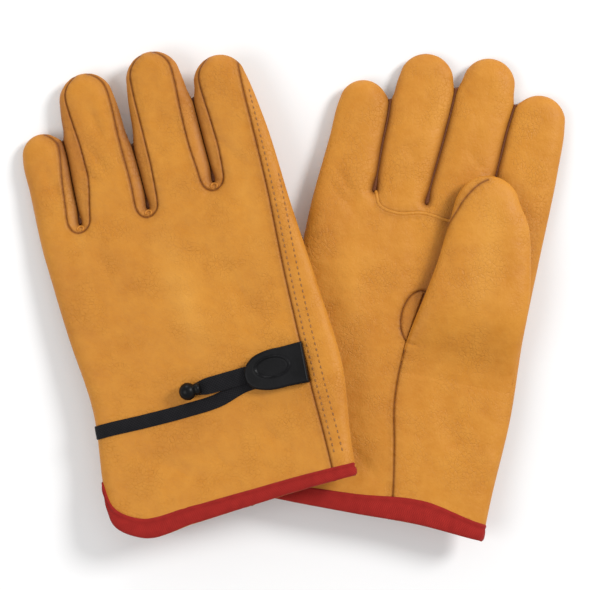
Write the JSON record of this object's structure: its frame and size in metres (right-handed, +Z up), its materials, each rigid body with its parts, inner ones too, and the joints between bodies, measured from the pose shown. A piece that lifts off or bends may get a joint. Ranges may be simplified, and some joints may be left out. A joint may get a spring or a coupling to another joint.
{
  "type": "pair of leather over-gloves for insulating gloves",
  "caption": "Pair of tan leather over-gloves lying crossed at the cuffs, with red bound hems and black wrist tapes with a pull ball.",
  "frame": {"origin": "middle of the pair's box, on the surface it lies on", "axes": "+X across the pair from the left glove to the right one, +Y towards the fingertips, +Z up"},
  "size_m": [0.2963, 0.266, 0.0458],
  "materials": {
    "tan_leather": "satin grain leather",
    "red_binding": "woven cotton tape",
    "black_tape": "woven tape",
    "black_keeper": "moulded satin plastic",
    "black_ball": "polished plastic",
    "thread": "twisted thread"
  },
  "bodies": {
    "right_glove": {"right_back_panel": "tan_leather", "right_palm_panel": "tan_leather", "right_middle_ring_front": "tan_leather", "right_pinky_ring_fourchette": "tan_leather", "right_ring_middle_fourchette": "tan_leather", "right_middle_index_fourchette": "tan_leather", "right_side_band": "tan_leather", "right_band_stitching": "thread", "right_gunn_welt": "tan_leather", "right_thumb_keystone": "tan_leather", "right_thumb_base_panel": "tan_leather", "right_hem_binding": "red_binding", "right_wrist_tape": "black_tape", "right_keeper": "black_keeper"},
    "right_thumb": {"right_thumb_outer": "tan_leather", "right_thumb_inner": "tan_leather"},
    "right_pull": {"right_tape_tail": "black_tape", "right_pull_ball": "black_ball"},
    "left_glove": {"left_back_panel": "tan_leather", "left_palm_panel": "tan_leather", "left_middle_ring_front": "tan_leather", "left_pinky_ring_fourchette": "tan_leather", "left_ring_middle_fourchette": "tan_leather", "left_middle_index_fourchette": "tan_leather", "left_side_band": "tan_leather", "left_band_stitching": "thread", "left_gunn_welt": "tan_leather", "left_thumb_keystone": "tan_leather", "left_thumb_base_panel": "tan_leather", "left_hem_binding": "red_binding", "left_wrist_tape": "black_tape", "left_keeper": "black_keeper"},
    "left_thumb": {"left_thumb_outer": "tan_leather", "left_thumb_inner": "tan_leather"},
    "left_pull": {"left_tape_tail": "black_tape", "left_pull_ball": "black_ball"}
  },
  "joints": [
    {"name": "left_glove_lift", "type": "slide", "parent": "right_glove", "child": "left_glove", "axis": [0, 0, 1], "range_m": [0, 0.16]},
    {"name": "right_thumb_hinge", "type": "hinge", "parent": "right_glove", "child": "right_thumb", "pos_m": [0.09091, -0.02938, 0.0207], "axis": [0.9999, -0.0003, -0.0112], "range_deg": [0, 55]},
    {"name": "right_pull_slide", "type": "slide", "parent": "right_glove", "child": "right_pull", "axis": [-0.992, 0.1264, 0.0045], "range_m": [0, 0.012]},
    {"name": "left_thumb_hinge", "type": "hinge", "parent": "left_glove", "child": "left_thumb", "pos_m": [-0.03361, -0.01668, 0.01955], "axis": [-0.9108, -0.3946, -0.1213], "range_deg": [0, 55]},
    {"name": "left_pull_slide", "type": "slide", "parent": "left_glove", "child": "left_pull", "axis": [-0.9521, -0.2754, -0.1326], "range_m": [0, 0.012]}
  ]
}
